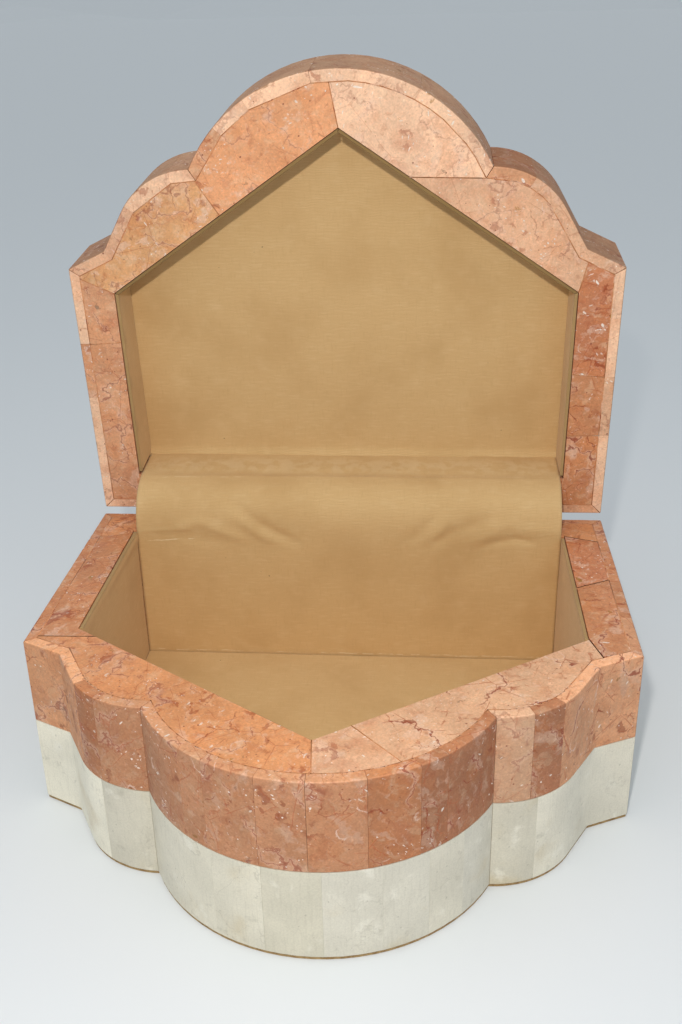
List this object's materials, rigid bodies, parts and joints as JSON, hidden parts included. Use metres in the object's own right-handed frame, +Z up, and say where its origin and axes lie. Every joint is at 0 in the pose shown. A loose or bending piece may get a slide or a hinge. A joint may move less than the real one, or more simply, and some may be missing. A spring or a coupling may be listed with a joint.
{
  "type": "marble jewelry box",
  "caption": "Marble jewelry box with a scalloped front, a hinged lid and a fabric-lined five-sided cavity, standing open.",
  "frame": {"origin": "middle of the flat underside, where the box stands", "axes": "+Z up, the scalloped front towards -Y, the hinge along X at the back"},
  "size_m": [0.2996, 0.297, 0.3527],
  "materials": {
    "base_pink_marble": "satin",
    "lid_pink_marble": "satin",
    "white_marble": "satin",
    "lining_fabric": "matte",
    "hinge_cloth": "matte",
    "bottom_board": "matte",
    "hinge_brass": "satin"
  },
  "bodies": {
    "base": {"base_lining_floor": "lining_fabric", "base_lining_front_left": "lining_fabric", "base_lining_front_right": "lining_fabric", "base_lining_left": "lining_fabric", "base_lining_right": "lining_fabric", "base_pink_back": "base_pink_marble", "base_pink_centre_lobe": "base_pink_marble", "base_pink_left": "base_pink_marble", "base_pink_left_lobe": "base_pink_marble", "base_pink_right": "base_pink_marble", "base_pink_right_lobe": "base_pink_marble", "base_wall_back": "base_pink_marble", "base_wall_front_left": "base_pink_marble", "base_wall_front_middle": "base_pink_marble", "base_wall_front_right": "base_pink_marble", "base_wall_left_front": "base_pink_marble", "base_wall_left_rear": "base_pink_marble", "base_wall_right_front": "base_pink_marble", "base_wall_right_rear": "base_pink_marble", "base_white_back": "white_marble", "base_white_centre_lobe": "white_marble", "base_white_left": "white_marble", "base_white_left_lobe": "white_marble", "base_white_right": "white_marble", "base_white_right_lobe": "white_marble", "bottom_board": "bottom_board", "hinge_cloth": "hinge_cloth", "hinge_left_base_leaf": "hinge_brass", "hinge_left_pin": "hinge_brass", "hinge_right_base_leaf": "hinge_brass", "hinge_right_pin": "hinge_brass"},
    "lid": {"hinge_left_lid_leaf": "hinge_brass", "hinge_right_lid_leaf": "hinge_brass", "lid_lining_ceiling": "lining_fabric", "lid_lining_front_left": "lining_fabric", "lid_lining_front_right": "lining_fabric", "lid_lining_left": "lining_fabric", "lid_lining_right": "lining_fabric", "lid_pink_back": "lid_pink_marble", "lid_pink_centre_lobe": "lid_pink_marble", "lid_pink_left": "lid_pink_marble", "lid_pink_left_lobe": "lid_pink_marble", "lid_pink_right": "lid_pink_marble", "lid_pink_right_lobe": "lid_pink_marble", "lid_top_front_left": "lid_pink_marble", "lid_top_front_right": "lid_pink_marble", "lid_top_lobe_left": "lid_pink_marble", "lid_top_lobe_right": "lid_pink_marble", "lid_top_rear_left": "lid_pink_marble", "lid_top_rear_right": "lid_pink_marble", "lid_wall_back": "lid_pink_marble", "lid_wall_front_left": "lid_pink_marble", "lid_wall_front_right": "lid_pink_marble", "lid_wall_left_front": "lid_pink_marble", "lid_wall_left_lobe": "lid_pink_marble", "lid_wall_left_rear": "lid_pink_marble", "lid_wall_right_front": "lid_pink_marble", "lid_wall_right_lobe": "lid_pink_marble", "lid_wall_right_middle": "lid_pink_marble", "lid_wall_right_rear": "lid_pink_marble"}
  },
  "joints": [
    {"name": "lid_hinge", "type": "hinge", "parent": "base", "child": "lid", "pos_m": [0, 0.12825, 0.09565], "axis": [1, 0, 0], "range_deg": [0, 84], "deforming": ["hinge_cloth"]}
  ]
}
